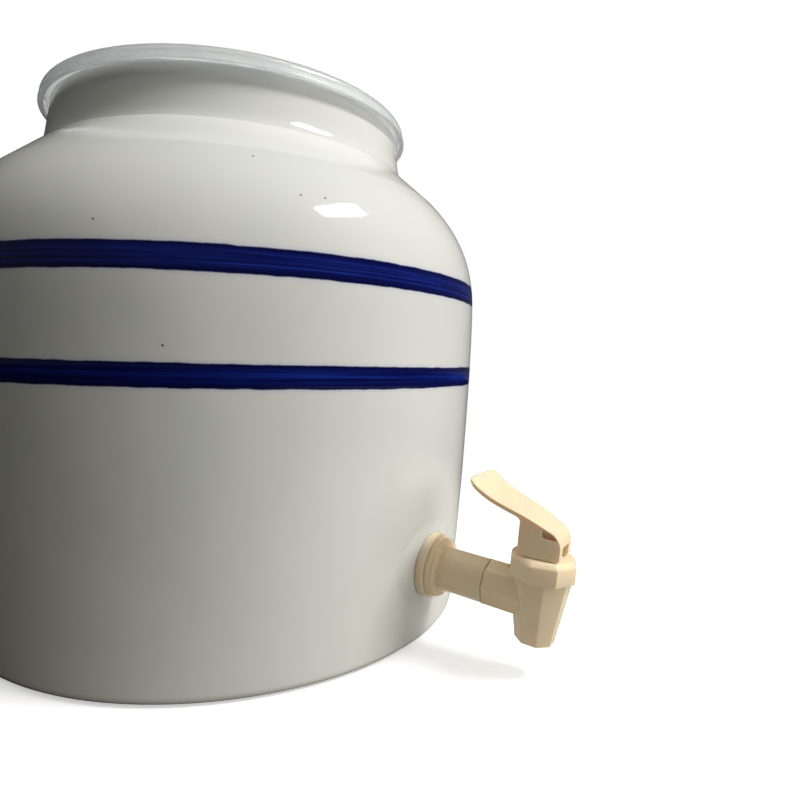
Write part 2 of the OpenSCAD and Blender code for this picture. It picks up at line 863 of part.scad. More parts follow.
// Hollow under the paddle in the outside of one cheek
module lever_pocket(side) {
    roof_r = nose_r - pocket_roof;
    taper = atan((lever_half(0) - lever_w / 2) / block_front);
    translate([side * (lever_w / 2 - pocket_d), -block_front, 0])
        rotate([0, 0, -side * taper])
            translate([side * lever_w / 2, block_front, 0])
                rotate([90, 0, 90])
                    linear_extrude(height = lever_w, center = true)
                        polygon(concat(
                            arc([pocket_back - pocket_round, pocket_z + pocket_round], pocket_round,
                                -90, 0, 5),
                            [[pocket_back, paddle_top(pocket_back) - pocket_roof]],
                            arc([nose_at, nose_z], roof_r, nose_end,
                                180 - asin((pocket_z - nose_z) / roof_r), 5)
                        ));
}

crock();
lower_band();
upper_band();
bottle_ring();
outer_washer();
shank();
inner_washer();
lock_nut();
tap_body();
spigot_oring();
bonnet();
bonnet_gasket();
gland_washer();
stem_oring();
return_spring();
stem();
valve_seal();
lever_pin();
lever();
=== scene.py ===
import json
import math
from functools import partial

import bmesh
import bpy
from mathutils import Matrix, Vector


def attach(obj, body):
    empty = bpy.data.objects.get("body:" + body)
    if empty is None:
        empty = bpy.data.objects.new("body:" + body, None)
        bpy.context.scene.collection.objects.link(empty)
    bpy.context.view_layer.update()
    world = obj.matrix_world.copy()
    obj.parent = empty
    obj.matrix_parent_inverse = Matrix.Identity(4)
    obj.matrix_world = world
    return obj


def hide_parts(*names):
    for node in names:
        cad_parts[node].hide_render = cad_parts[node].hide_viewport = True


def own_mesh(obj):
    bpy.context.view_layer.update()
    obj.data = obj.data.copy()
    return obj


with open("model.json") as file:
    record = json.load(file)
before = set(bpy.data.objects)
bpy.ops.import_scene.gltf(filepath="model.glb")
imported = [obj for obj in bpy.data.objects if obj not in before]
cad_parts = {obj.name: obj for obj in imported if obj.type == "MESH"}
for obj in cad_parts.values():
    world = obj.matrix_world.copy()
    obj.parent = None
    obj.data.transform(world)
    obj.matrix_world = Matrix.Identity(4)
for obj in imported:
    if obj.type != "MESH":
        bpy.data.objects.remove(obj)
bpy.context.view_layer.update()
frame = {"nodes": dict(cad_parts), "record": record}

# A glazed crock with a ring for a water bottle and a cream lever tap. Sizes are in millimetres.
mm = 0.001
scene = bpy.context.scene
joints = {joint["name"]: joint for joint in frame["record"]["behaviour"]["joints"]}


def arcPoints(centre, radius, startAngle, endAngle, steps):
    points = []
    for step in range(steps + 1):
        angle = math.radians(startAngle + (endAngle - startAngle) * step / steps)
        points.append((centre[0] + radius * math.cos(angle), centre[1] + radius * math.sin(angle)))
    return points


def roundedCorner(before, corner, after, radius, steps=4):
    corner = Vector(corner)
    toBefore = (Vector(before) - corner).normalized()
    toAfter = (Vector(after) - corner).normalized()
    halfAngle = toBefore.angle(toAfter) / 2
    reach = radius / math.tan(halfAngle)
    centre = corner + (toBefore + toAfter).normalized() * (radius / math.sin(halfAngle))
    start = corner + toBefore * reach - centre
    end = corner + toAfter * reach - centre
    turn = start.angle_signed(end)
    points = []
    for step in range(steps + 1):
        angle = -turn * step / steps
        points.append((
            centre.x + start.x * math.cos(angle) - start.y * math.sin(angle),
            centre.y + start.x * math.sin(angle) + start.y * math.cos(angle),
        ))
    return points


def softOutline(corners, steps=4):
    # Each corner is (x, y, rounding). The first and last stay as they are.
    points = [corners[0][:2]]
    for before, corner, after in zip(corners, corners[1:], corners[2:]):
        if corner[2] > 0:
            points += roundedCorner(before[:2], corner[:2], after[:2], corner[2], steps)
        else:
            points.append(corner[:2])
    return points + [corners[-1][:2]]


def turnBy(degrees, axis):
    return Matrix.Rotation(math.radians(degrees), 4, axis)


def evenSteps(start, end, count):
    return [start + (end - start) * step / count for step in range(count + 1)]


def smoothStep(value):
    value = min(1, max(0, value))
    return value * value * (3 - 2 * value)


def refreshShading(piece, sharpAngle=35):
    mesh = piece.data
    mesh.polygons.foreach_set("use_smooth", [True] * len(mesh.polygons))
    mesh.set_sharp_from_angle(angle=math.radians(sharpAngle))
    return piece


def newObject(name, data):
    made = bpy.data.objects.new(name, data)
    scene.collection.objects.link(made)
    return made


def outwardMesh(bm, name):
    bmesh.ops.remove_doubles(bm, verts=bm.verts, dist=1e-6)
    bmesh.ops.recalc_face_normals(bm, faces=bm.faces)
    if bm.calc_volume(signed=True) < 0:
        bmesh.ops.reverse_faces(bm, faces=bm.faces)
    mesh = bpy.data.meshes.new(name)
    bm.to_mesh(mesh)
    bm.free()
    return mesh


def giveMesh(piece, mesh):
    old = piece.data
    piece.data = mesh
    bpy.data.meshes.remove(old)


def modified(piece, kind, inputs=None, **settings):
    # The modifier's result takes the place of the piece's mesh
    modifier = piece.modifiers.new(kind.lower(), kind)
    for name, value in settings.items():
        setattr(modifier, name, value)
    for name, value in (inputs or {}).items():
        modifier[name] = value
    graph = bpy.context.evaluated_depsgraph_get()
    result = bpy.data.meshes.new_from_object(piece.evaluated_get(graph))
    piece.modifiers.clear()
    giveMesh(piece, result)


def combine(piece, cutters, operation):
    for cutter in cutters:
        modified(piece, "BOOLEAN", object=cutter, operation=operation, solver="EXACT")
        bpy.data.objects.remove(cutter)


def feed(tree, socket, value):
    if isinstance(value, bpy.types.NodeSocket):
        tree.links.new(value, socket)
    else:
        socket.default_value = value


def setInputs(tree, node, inputs):
    for name, value in inputs.items():
        feed(tree, node.inputs[name], value)
    return node


def addNode(tree, kind, inputs=None, **settings):
    node = tree.nodes.new(kind)
    for name, value in settings.items():
        setattr(node, name, value)
    return setInputs(tree, node, inputs or {})


def mathNode(tree, operation, first, *others):
    # Three values or more are worked through from left to right
    for other in others or (0.0,):
        first = addNode(tree, "ShaderNodeMath", {0: first, 1: other}, operation=operation).outputs[0]
    return first


def mapRange(tree, value, fromMin, fromMax, toMin=0.0, toMax=1.0):
    inputs = {"Value": value, "From Min": fromMin, "From Max": fromMax, "To Min": toMin, "To Max": toMax}
    return addNode(tree, "ShaderNodeMapRange", inputs, interpolation_type="SMOOTHSTEP").outputs["Result"]


def noise(tree, vector, scale, detail, dimensions="3D", **inputs):
    inputs.update(Vector=vector, Scale=scale, Detail=detail)
    return addNode(tree, "ShaderNodeTexNoise", inputs, noise_dimensions=dimensions).outputs["Fac"]


def distanceTo(tree, position, point):
    inputs = {0: position, 1: point}
    return addNode(tree, "ShaderNodeVectorMath", inputs, operation="DISTANCE").outputs["Value"]


def mixColour(tree, factor, first, second):
    node = addNode(tree, "ShaderNodeMix", data_type="RGBA")
    sockets = {item.identifier: item for item in node.inputs}
    for name, value in (("Factor_Float", factor), ("A_Color", first), ("B_Color", second)):
        feed(tree, sockets[name], value)
    return next(item for item in node.outputs if item.identifier == "Result_Color")


def mixShaders(tree, factor, first, second):
    return addNode(tree, "ShaderNodeMixShader", {0: factor, 1: first, 2: second}).outputs["Shader"]


def newMaterial(name):
    material = bpy.data.materials.new(name)
    material.use_nodes = True
    tree = material.node_tree
    position = addNode(tree, "ShaderNodeTexCoord").outputs["Object"]
    return material, tree, tree.nodes["Principled BSDF"], position


def addInputs(tree, kind, values):
    for label, value in values.items():
        socket = tree.interface.new_socket(label, in_out="INPUT", socket_type="NodeSocket" + kind)
        if value is not None:
            socket.default_value = value


def surfaceGroup(name, values):
    # A group takes a position and the named values, and gives a height, a tone and a roughness
    group = bpy.data.node_groups.new(name, "ShaderNodeTree")
    addInputs(group, "Vector", {"Position": None})
    addInputs(group, "Float", values)
    for label in ("Height", "Tone", "Roughness"):
        group.interface.new_socket(label, in_out="OUTPUT", socket_type="NodeSocketFloat")
    given = group.nodes.new("NodeGroupInput").outputs
    end = group.nodes.new("NodeGroupOutput")
    return group, given, end, given["Position"], partial(mathNode, group)


# Slow unevenness, fine orange peel and a drifting tone, for whatever is glazed
def buildGlazeGroup():
    group, given, end, position, calc = surfaceGroup("glazeSurface", {
        "Ripple Size": 0.02, "Ripple Height": 0.0002, "Peel Height": 0.000004,
    })
    rippleScale = calc("DIVIDE", 1.0, given["Ripple Size"])
    ripple = noise(group, position, rippleScale, 1.5, Roughness=0.4)
    peel = noise(group, position, 420.0, 1.0)
    tone = noise(group, position, 9.0, 3.0, Roughness=0.55)
    rippleHeight = calc("MULTIPLY", ripple, given["Ripple Height"])
    peelHeight = calc("MULTIPLY", peel, given["Peel Height"])
    setInputs(group, end, {
        "Height": calc("ADD", rippleHeight, peelHeight),
        "Tone": mapRange(group, tone, 0.32, 0.68),
        "Roughness": mapRange(group, peel, 0.3, 0.7, 0.05, 0.085),
    })
    return group


# Faint flow marks, fine grain and a drifting tone, for whatever is moulded in plastic
def buildMouldedGroup():
    group, given, end, position, calc = surfaceGroup("mouldedSurface", {
        "Grain Size": 0.0012, "Grain Height": 0.000004, "Flow Height": 0.00002,
        "Smoothest": 0.24, "Roughest": 0.36,
    })
    grainScale = calc("DIVIDE", 1.0, given["Grain Size"])
    grain = noise(group, position, grainScale, 2.0)
    flow = noise(group, position, 110.0, 2.0, Distortion=0.6)
    grainHeight = calc("MULTIPLY", grain, given["Grain Height"])
    flowHeight = calc("MULTIPLY", flow, given["Flow Height"])
    span = calc("SUBTRACT", given["Roughest"], given["Smoothest"])
    setInputs(group, end, {
        "Height": calc("ADD", grainHeight, flowHeight),
        "Tone": mapRange(group, flow, 0.3, 0.7),
        "Roughness": calc("ADD", given["Smoothest"], calc("MULTIPLY", span, grain)),
    })
    return group


glazeSurface = buildGlazeGroup()
mouldedSurface = buildMouldedGroup()


def bumpFrom(tree, height):
    bump = addNode(tree, "ShaderNodeBump", {"Strength": 1.0, "Distance": 1.0, "Height": height})
    return bump.outputs["Normal"]


crock = {
    "bellyRadius": 133, "bellyHeight": 150,
    "footTaper": 7, "footPower": 1.6, "footRounding": 4,
    "shoulderHeight": 58.5, "shoulderDrawIn": 21, "shoulderPower": 2.8,
    "shoulderBlend": 4, "shoulderRounding": 3.5,
    "coneHeight": 16.5, "coneDrawIn": 19.5, "creaseRounding": 1.0,
    "neckHeight": 25, "neckDrawIn": 4.3, "neckLean": 0.132,
    "neckFlare": 1.42, "neckFlareHeight": 3.2,
    "rimRounding": 3, "wall": 8, "floor": 9, "floorRounding": 16,
}
clayTurning = {"Steps Around": 288, "Wave Depth": 0.5 * mm, "Wave Length": 52 * mm}
bands = {
    "lower_band": {"middle": 122.9, "width": 8.5},
    "upper_band": {"middle": 163.6, "width": 9.4},
}
shoulderTop = crock["bellyHeight"] + crock["shoulderHeight"]
neckFoot = shoulderTop + crock["coneHeight"]
rimTop = neckFoot + crock["neckHeight"]
shoulderRadius = crock["bellyRadius"] - crock["shoulderDrawIn"]
neckRadius = shoulderRadius - crock["coneDrawIn"]
rimRadius = neckRadius - crock["neckDrawIn"]
mouthRadius = rimRadius - crock["wall"]


def wallRadius(height):
    if height <= crock["bellyHeight"]:
        share = (crock["bellyHeight"] - height) / crock["bellyHeight"]
        return crock["bellyRadius"] - crock["footTaper"] * share ** crock["footPower"]
    share = (height - crock["bellyHeight"]) / crock["shoulderHeight"]
    return crock["bellyRadius"] - crock["shoulderDrawIn"] * share ** crock["shoulderPower"]


def innerWallPoint(height):
    slope = (wallRadius(height + 0.01) - wallRadius(height - 0.01)) / 0.02
    wall = crock["wall"] / math.sqrt(1 + slope * slope)
    return (wallRadius(height) - wall, height + wall * slope)


print("materials")
# Reaches are distances in millimetres: where an effect begins, and where it is full
glaze = {
    "warmWhite": (0.735, 0.735, 0.70, 1), "coolWhite": (0.69, 0.70, 0.675, 1),
    "bareClay": (0.40, 0.33, 0.24, 1), "footLine": (2.6, 1.0), "foot": (0.5, 0.2),
    "pinhole": (0.10, 0.08, 0.05, 1), "pinholeRadius": 0.7, "pinholeDepth": 0.12,
    "blueHaze": (0.42, 0.48, 0.72, 1), "hazeReach": (2.2, 0.2), "hazeStrength": 0.4,
    "deepCobalt": (0.0006, 0.002, 0.055, 1), "blueReach": (0.55, 0.1), "bleed": 0.9,
    "brightCobalt": (0.009, 0.028, 0.29, 1), "brushReach": (-0.6, 3.2), "brushHeight": 0.006,
    "refraction": 1.52,
}
# Where the glaze pulled back: angle from the tap's side in degrees, height in millimetres
pinholes = [(-63.5, 175.3), (-32, 189.9), (-27.6, 190.2), (-39.5, 204.3), (-52.9, 133), (24, 88), (71, 196),
            (118, 60), (166, 181), (-148, 112), (-110, 40)]


def onWall(angle, height):
    radius = wallRadius(height) * mm
    turn = math.radians(angle)
    return (radius * math.sin(turn), -radius * math.cos(turn), height * mm)


def bandMask(tree, height, outside, inside):
    mask = None
    for band in bands.values():
        offset = mathNode(tree, "ABSOLUTE", mathNode(tree, "SUBTRACT", height, band["middle"] * mm))
        half = band["width"] / 2
        edge = mapRange(tree, offset, (half + outside) * mm, (half - inside) * mm)
        mask = edge if mask is None else mathNode(tree, "MAXIMUM", mask, edge)
    return mask


def startGlaze(name):
    # What the white and the blue have in common
    material, tree, shader, position = newMaterial(name)
    height = addNode(tree, "ShaderNodeSeparateXYZ", {"Vector": position}).outputs["Z"]
    surface = addNode(tree, "ShaderNodeGroup", {"Position": position}, node_tree=glazeSurface).outputs
    return material, tree, shader, position, height, surface


def buildPorcelain():
    material, tree, shader, position, height, surface = startGlaze("porcelainGlaze")
    calc = partial(mathNode, tree)
    colour = mixColour(tree, surface["Tone"], glaze["warmWhite"], glaze["coolWhite"])
    # The blue bleeds a little way into the white
    wander = noise(tree, position, 120.0, 3.0)
    shift = calc("MULTIPLY", calc("SUBTRACT", wander, 0.5), glaze["bleed"] * mm)
    wandering = calc("ADD", height, shift)
    haze = calc("MULTIPLY", bandMask(tree, wandering, *glaze["hazeReach"]), glaze["hazeStrength"])
    colour = mixColour(tree, haze, colour, glaze["blueHaze"])
    blue = bandMask(tree, wandering, *glaze["blueReach"])
    colour = mixColour(tree, blue, colour, glaze["deepCobalt"])
    nearest = distanceTo(tree, position, onWall(*pinholes[0]))
    for spot in pinholes[1:]:
        nearest = calc("MINIMUM", nearest, distanceTo(tree, position, onWall(*spot)))
    reach = glaze["pinholeRadius"] * mm
    pinhole = mapRange(tree, nearest, reach, reach * 0.45)
    colour = mixColour(tree, calc("MULTIPLY", pinhole, 0.75), colour, glaze["pinhole"])
    # The foot is wiped clean of glaze, which ends in a thin darker line
    footLine, foot = [
        mapRange(tree, height, start * mm, full * mm)
        for start, full in (glaze["footLine"], glaze["foot"])
    ]
    colour = mixColour(tree, calc("MULTIPLY", footLine, 0.55), colour, glaze["bareClay"])
    dent = calc("MULTIPLY", pinhole, -glaze["pinholeDepth"] * mm)
    setInputs(tree, shader, {
        "Base Color": mixColour(tree, foot, colour, glaze["bareClay"]),
        "Roughness": calc("ADD", surface["Roughness"], calc("MULTIPLY", foot, 0.7)),
        "Normal": bumpFrom(tree, calc("ADD", surface["Height"], dent)),
        "IOR": glaze["refraction"],
    })
    return material


def buildCobalt():
    material, tree, shader, position, height, surface = startGlaze("cobaltGlaze")
    calc = partial(mathNode, tree)
    # Hairs of the brush ran round the wheel, so the streaks are long and thin
    stretched = addNode(tree, "ShaderNodeMapping", {"Vector": position, "Scale": (9.0, 9.0, 900.0)})
    streaks = noise(tree, stretched.outputs["Vector"], 1.0, 4.0, Roughness=0.65)
    patches = noise(tree, position, 22.0, 2.0)
    middle = bandMask(tree, height, *glaze["brushReach"])
    light = calc("MULTIPLY", mapRange(tree, streaks, 0.34, 0.68), middle,
                 mapRange(tree, patches, 0.3, 0.7, 0.45, 1.0))
    streakHeight = calc("MULTIPLY", streaks, glaze["brushHeight"] * mm)
    setInputs(tree, shader, {
        "Base Color": mixColour(tree, light, glaze["deepCobalt"], glaze["brightCobalt"]),
        "Roughness": surface["Roughness"],
        "Normal": bumpFrom(tree, calc("ADD", surface["Height"], streakHeight)),
        "IOR": glaze["refraction"],
    })
    return material


def buildPlastic(name, look):
    material, tree, shader, position = newMaterial(name)
    surface = addNode(tree, "ShaderNodeGroup", {"Position": position, **look["surface"]},
                      node_tree=mouldedSurface).outputs
    setInputs(tree, shader, {
        "Base Color": mixColour(tree, surface["Tone"], look["colour"], look["shade"]),
        "Roughness": surface["Roughness"],
        "Normal": bumpFrom(tree, surface["Height"]),
        "IOR": 1.49,
        **look["shader"],
    })
    return material


creamSurface = {
    "Grain Size": 0.0009, "Grain Height": 0.000003, "Flow Height": 0.00001,
    "Smoothest": 0.15, "Roughest": 0.24,
}
creamLook = {
    "colour": (0.94, 0.765, 0.545, 1), "shade": (0.925, 0.745, 0.525, 1), "surface": creamSurface,
    "shader": {"Subsurface Weight": 0.55, "Subsurface Radius": (1, 0.5, 0.16), "Subsurface Scale": 0.0026},
}
washerLook = dict(creamLook, colour=(0.94, 0.775, 0.565, 1), shade=(0.92, 0.75, 0.535, 1),
                  surface={**creamSurface, "Smoothest": 0.30, "Roughest": 0.42})
milkyLook = {
    "colour": (0.965, 0.975, 0.98, 1), "shade": (0.94, 0.955, 0.965, 1),
    "surface": {"Grain Size": 0.002, "Grain Height": 0.000003, "Flow Height": 0.00002,
                "Smoothest": 0.14, "Roughest": 0.26},
    "shader": {"Transmission Weight": 0.6},
}
rubberLook = {
    "colour": (0.62, 0.58, 0.50, 1), "shade": (0.54, 0.50, 0.42, 1),
    "surface": {"Grain Size": 0.0006, "Grain Height": 0.000012, "Flow Height": 0.00002,
                "Smoothest": 0.55, "Roughest": 0.75},
    "shader": {},
}


def buildSteel():
    material, tree, shader, position = newMaterial("drawnSteel")
    drawn = noise(tree, position, 2600.0, 2.0)
    setInputs(tree, shader, {
        "Base Color": mixColour(tree, drawn, (0.55, 0.56, 0.58, 1), (0.68, 0.69, 0.70, 1)),
        "Roughness": mapRange(tree, drawn, 0.3, 0.7, 0.18, 0.34),
        "Normal": bumpFrom(tree, mathNode(tree, "MULTIPLY", drawn, 0.003 * mm)),
        "Metallic": 1.0,
    })
    return material


porcelain = buildPorcelain()
cobalt = buildCobalt()
cream = buildPlastic("creamPlastic", creamLook)
washerPlastic = buildPlastic("washerPlastic", washerLook)
milkyPlastic = buildPlastic("milkyPlastic", milkyLook)
sealRubber = buildPlastic("sealRubber", rubberLook)
drawnSteel = buildSteel()


# A thread is cut outside its clear radius, and waves fade inside theirs
turning = {
    "threadClear": 7.6 * mm, "waveFadeRadius": 40 * mm,
    "wanderAround": 4.2, "wanderUp": 90.0, "wholeTurns": 64.0,
}


# Turns a row of profile points round Z. Waves push the surface inwards, wander moves it up and down,
# and a thread is cut where the profile lies between two heights.
def buildTurningTree():
    tree = bpy.data.node_groups.new("turnedShell", "GeometryNodeTree")
    addInputs(tree, "Geometry", {"Profile": None})
    addInputs(tree, "Int", {"Steps Around": 96})
    addInputs(tree, "Float", {
        "Wave Depth": 0.0, "Wave Length": 0.05, "Wave Seed": 3.0, "Edge Wander": 0.0,
        "Thread Pitch": 0.002, "Thread Depth": 0.0, "Thread Start": 0.0, "Thread End": 0.0,
    })
    addInputs(tree, "Material", {"Finish": None})
    tree.interface.new_socket("Shell", in_out="OUTPUT", socket_type="NodeSocketGeometry")
    given = tree.nodes.new("NodeGroupInput").outputs
    end = tree.nodes.new("NodeGroupOutput")
    calc = partial(mathNode, tree)

    # A grid with a row for each point of the profile and a column for each step around
    size = addNode(tree, "GeometryNodeAttributeDomainSize", {"Geometry": given["Profile"]},
                   component="MESH")
    columns = calc("ADD", given["Steps Around"], 1.0)
    grid = addNode(tree, "GeometryNodeMeshGrid", {
        "Size X": 1.0, "Size Y": 1.0, "Vertices X": size.outputs["Point Count"], "Vertices Y": columns,
    })
    index = addNode(tree, "GeometryNodeInputIndex").outputs["Index"]
    row = calc("FLOOR", calc("DIVIDE", calc("ADD", index, 0.5), columns))
    column = calc("SUBTRACT", index, calc("MULTIPLY", row, columns))
    turn = calc("DIVIDE", column, given["Steps Around"])
    angle = calc("MULTIPLY", turn, math.tau)
    cosine = calc("COSINE", angle)
    sine = calc("SINE", angle)

    def vectorNode(x, y, z):
        return addNode(tree, "ShaderNodeCombineXYZ", {"X": x, "Y": y, "Z": z}).outputs["Vector"]

    def pointAt(radius, height):
        return vectorNode(calc("MULTIPLY", radius, cosine), calc("MULTIPLY", radius, sine), height)

    profilePoint = addNode(tree, "GeometryNodeInputPosition").outputs["Position"]
    sample = addNode(tree, "GeometryNodeSampleIndex", {
        "Geometry": given["Profile"], "Value": profilePoint, "Index": row,
    }, data_type="FLOAT_VECTOR", domain="POINT", clamp=True)
    sampled = next(item for item in sample.outputs if item.enabled)
    split = addNode(tree, "ShaderNodeSeparateXYZ", {"Vector": sampled})
    radius = split.outputs["X"]
    height = split.outputs["Z"]

    # Thread: a triangle wave along a helix
    lead = calc("DIVIDE", height, given["Thread Pitch"])
    phase = calc("FRACT", calc("ADD", calc("SUBTRACT", lead, turn), turning["wholeTurns"]))
    ridge = calc("ABSOLUTE", calc("SUBTRACT", calc("MULTIPLY", phase, 2.0), 1.0))
    above = calc("GREATER_THAN", height, given["Thread Start"])
    below = calc("LESS_THAN", height, given["Thread End"])
    wide = calc("GREATER_THAN", radius, turning["threadClear"])
    radius = calc("SUBTRACT", radius, calc("MULTIPLY", above, below, given["Thread Depth"], ridge, wide))

    # Waves, which fade out near the axis
    waveScale = calc("DIVIDE", 1.0, given["Wave Length"])
    waves = noise(tree, pointAt(radius, height), waveScale, 1.0, "4D", W=given["Wave Seed"], Roughness=0.35)
    fade = calc("MINIMUM", calc("DIVIDE", radius, turning["waveFadeRadius"]), 1.0)
    push = calc("MULTIPLY", calc("SUBTRACT", waves, 1.0), given["Wave Depth"], fade)
    radius = calc("ADD", radius, push)

    # Wander, slow round the wheel and different for each edge
    ringPlace = vectorNode(
        calc("MULTIPLY", cosine, turning["wanderAround"]), calc("MULTIPLY", sine, turning["wanderAround"]),
        calc("MULTIPLY", height, turning["wanderUp"]),
    )
    drift = noise(tree, ringPlace, 1.0, 3.0)
    height = calc("ADD", height, calc("MULTIPLY", calc("SUBTRACT", drift, 0.5), given["Edge Wander"]))

    shell = grid.outputs["Mesh"]
    for kind, inputs in (
        ("GeometryNodeSetPosition", {"Position": pointAt(radius, height)}),
        ("GeometryNodeMergeByDistance", {"Distance": 1e-6}),
        ("GeometryNodeRealizeInstances", {}),
        ("GeometryNodeSetMaterial", {"Material": given["Finish"]}),
    ):
        shell = addNode(tree, kind, {"Geometry": shell, **inputs}).outputs["Geometry"]
    tree.links.new(shell, end.inputs["Shell"])
    return tree


turningTree = buildTurningTree()
socketNames = {item.name: item.identifier for item in turningTree.interface.items_tree}


def turned(name, outline, finish, place=None, sharpAngle=35, closed=False, **values):
    # outline holds (radius, height) in millimetres, from one end to the other
    profile = bpy.data.meshes.new(name + "Profile")
    points = list(outline) + ([outline[0]] if closed else [])
    profile.from_pydata([(x * mm, 0, z * mm) for x, z in points], [], [])
    piece = newObject(name, profile)
    inputs = {socketNames[label]: value for label, value in {"Finish": finish, **values}.items()}
    modified(piece, "NODES", inputs, node_group=turningTree)
    bm = bmesh.new()
    bm.from_mesh(piece.data)
    mesh = outwardMesh(bm, name)
    mesh.materials.append(finish)
    if place is not None:
        mesh.transform(place)
    giveMesh(piece, mesh)
    return refreshShading(piece, sharpAngle)


print("crock")


def neckDraw(rise):
    # How far the neck has drawn in at a height above its foot, where it flares out a little
    return crock["neckLean"] * rise + crock["neckFlare"] * (1 - math.exp(-rise / crock["neckFlareHeight"]))


def crockOutline():
    wall = crock["wall"]
    foot = crock["footRounding"]
    rim = crock["rimRounding"]
    blendFrom = shoulderTop - crock["shoulderBlend"]
    outside = [(radius, 0) for radius in evenSteps(0, wallRadius(foot) - foot, 10)[:-1]]
    outside += arcPoints((wallRadius(foot) - foot, foot), foot, -90, 0, 8)
    outside += [(wallRadius(z), z) for z in evenSteps(foot, blendFrom, 68)[1:]]
    outside += roundedCorner((wallRadius(blendFrom), blendFrom), (shoulderRadius, shoulderTop),
                             (neckRadius, neckFoot), crock["shoulderRounding"])
    outside += [(shoulderRadius - crock["coneDrawIn"] * t, shoulderTop + crock["coneHeight"] * t)
                for t in (0.25, 0.45, 0.65, 0.8)]
    outside += roundedCorner((shoulderRadius, shoulderTop), (neckRadius, neckFoot),
                             (neckRadius - neckDraw(2), neckFoot + 2), crock["creaseRounding"])
    for rise in evenSteps(1.6, 8, 9) + evenSteps(8, crock["neckHeight"] - rim, 7)[1:]:
        outside.append((neckRadius - neckDraw(rise), neckFoot + rise))
    outside += arcPoints((rimRadius - rim, rimTop - rim), rim, 0, 90, 7)[1:]
    inside = arcPoints((mouthRadius + rim, rimTop - rim), rim, 90, 180, 7)
    lean = crock["coneDrawIn"] / crock["coneHeight"]
    steepness = math.sqrt(1 + lean * lean)
    coneTop = shoulderTop - wall * lean / steepness
    creaseHeight = coneTop + (shoulderRadius - wall / steepness - mouthRadius) / lean
    inside += [(mouthRadius, z) for z in evenSteps(rimTop - rim, creaseHeight + 2, 5)[1:-1]]
    inside += roundedCorner((mouthRadius, rimTop - rim), (mouthRadius, creaseHeight),
                            innerWallPoint(shoulderTop), 3)
    heel = crock["floorRounding"]
    lowest = crock["floor"] + heel
    inside += [innerWallPoint(z) for z in evenSteps(shoulderTop, lowest, 44)]
    centre = (innerWallPoint(lowest)[0] - heel, lowest)
    inside += arcPoints(centre, heel, -4, -90, 10)
    inside += [(radius, crock["floor"]) for radius in evenSteps(centre[0], 0, 8)[1:]]
    return outside + inside


glazedCrock = turned("glazed_crock", crockOutline(), porcelain, sharpAngle=50, **clayTurning)

# The tap's own frame: -Y points out of the wall, +Z up the outlet
tapUp = Vector(joints["lever_swivel"]["axis"]).normalized()
tapTilt = math.atan2(-tapUp.y, tapUp.z)
tap = {
    "height": 37.4, "holeRadius": 10,
    "padRadius": 16.5, "padHeight": 1, "padSink": 5,
    "padSkirt": (24, -2.7), "innerPadSkirt": (18.5, 18, -8.2),
    "washerRadius": 14.5, "washerThickness": 3.8, "washerGap": 0.3, "innerWasherThickness": 3,
    "nutThickness": 8,
    "threadSpare": 4, "threadPitch": 2, "threadDepth": 0.7, "threadRadius": 9.2, "threadLead": 1.2,
    "boreRadius": 6,
    "flangeRadius": 13.3, "flangeThickness": 4, "flangeStep": (12.7, 1.5), "flangeFillet": 1.3,
    "tubeLip": (0.22, 0.7), "tubeRadius": 9.5, "tubeLength": 21.2,
    "socketRadius": 7.5, "socketDepth": 9,
    "spigotDepth": 8.5, "spigotRadius": 7.4, "grooveRadius": 6.2, "grooveReach": (5.5, 3.5),
    "armCorners": 20.6, "armLength": 22.7, "armBevel": 1.5, "armBore": 5,
    "outletTop": 26, "outletFoot": 16.6, "outletDrop": 18.3, "outletBore": 4.5,
    "bonnetFoot": 9.4, "bonnetHeight": 9.1, "bonnetCorners": 28.2, "bonnetBevel": 1.7, "bonnetTurn": 18.9,
    "bonnetSkirt": 5, "bonnetRoof": 2.3, "springWell": 4.25,
    "chamberRadius": 7.5, "chamberFloor": -8,
    "seatRadii": (5, 6), "seatDepth": 7, "seatFoot": -9.2,
    "neckRadius": 10.6, "neckHeight": 4.2,
    "clearRadius": 14.3, "clearHeight": 20,
    "stemRadius": 2.55, "leverGap": 0.3, "softEdge": 0.22,
}
washerStart = tap["padHeight"]
flangeStart = washerStart + tap["washerThickness"]
tubeStart = flangeStart + tap["flangeThickness"]
tubeEnd = tubeStart + tap["tubeLength"]
outletAt = tubeEnd + tap["armLength"]
innerFace = -crock["wall"] - tap["padRadius"] ** 2 / (2 * (wallRadius(tap["height"]) - crock["wall"]))
nutStart = innerFace - tap["innerWasherThickness"]
threadEnd = nutStart - tap["nutThickness"] - tap["threadSpare"]

tapPlace = Matrix.Translation((0, -wallRadius(tap["height"]) * mm, tap["height"] * mm))
tapPlace = tapPlace @ Matrix.Rotation(tapTilt, 4, "X")
shankPlace = tapPlace @ turnBy(90, "X")
outletPlace = tapPlace @ Matrix.Translation((0, -outletAt * mm, 0))

padSink = -tap["padSink"]
padHeight = tap["padHeight"]
outerPad = turned("outerPad", softOutline([
    (0, padSink, 0), (tap["padSkirt"][0], padSink, 0), (*tap["padSkirt"], 0),
    (tap["padRadius"] - 1, padHeight, 2.5), (0, padHeight, 0),
], steps=8), porcelain, shankPlace)
skirtRoot, skirtEdge, skirtAt = tap["innerPadSkirt"]
innerPad = turned("innerPad", softOutline([
    (0, padSink, 0), (skirtRoot, padSink, 0), (skirtEdge, skirtAt, 1.5), (tap["padRadius"], innerFace, 1),
    (0, innerFace, 0),
], steps=5), porcelain, shankPlace)
hole = turned("hole", [(0, -14), (tap["holeRadius"], -14), (tap["holeRadius"], 4), (0, 4)],
              porcelain, shankPlace)
combine(glazedCrock, [outerPad, innerPad], "UNION")
combine(glazedCrock, [hole], "DIFFERENCE")
refreshShading(glazedCrock, 50)
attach(glazedCrock, "crock_with_tap")
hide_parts("crock")

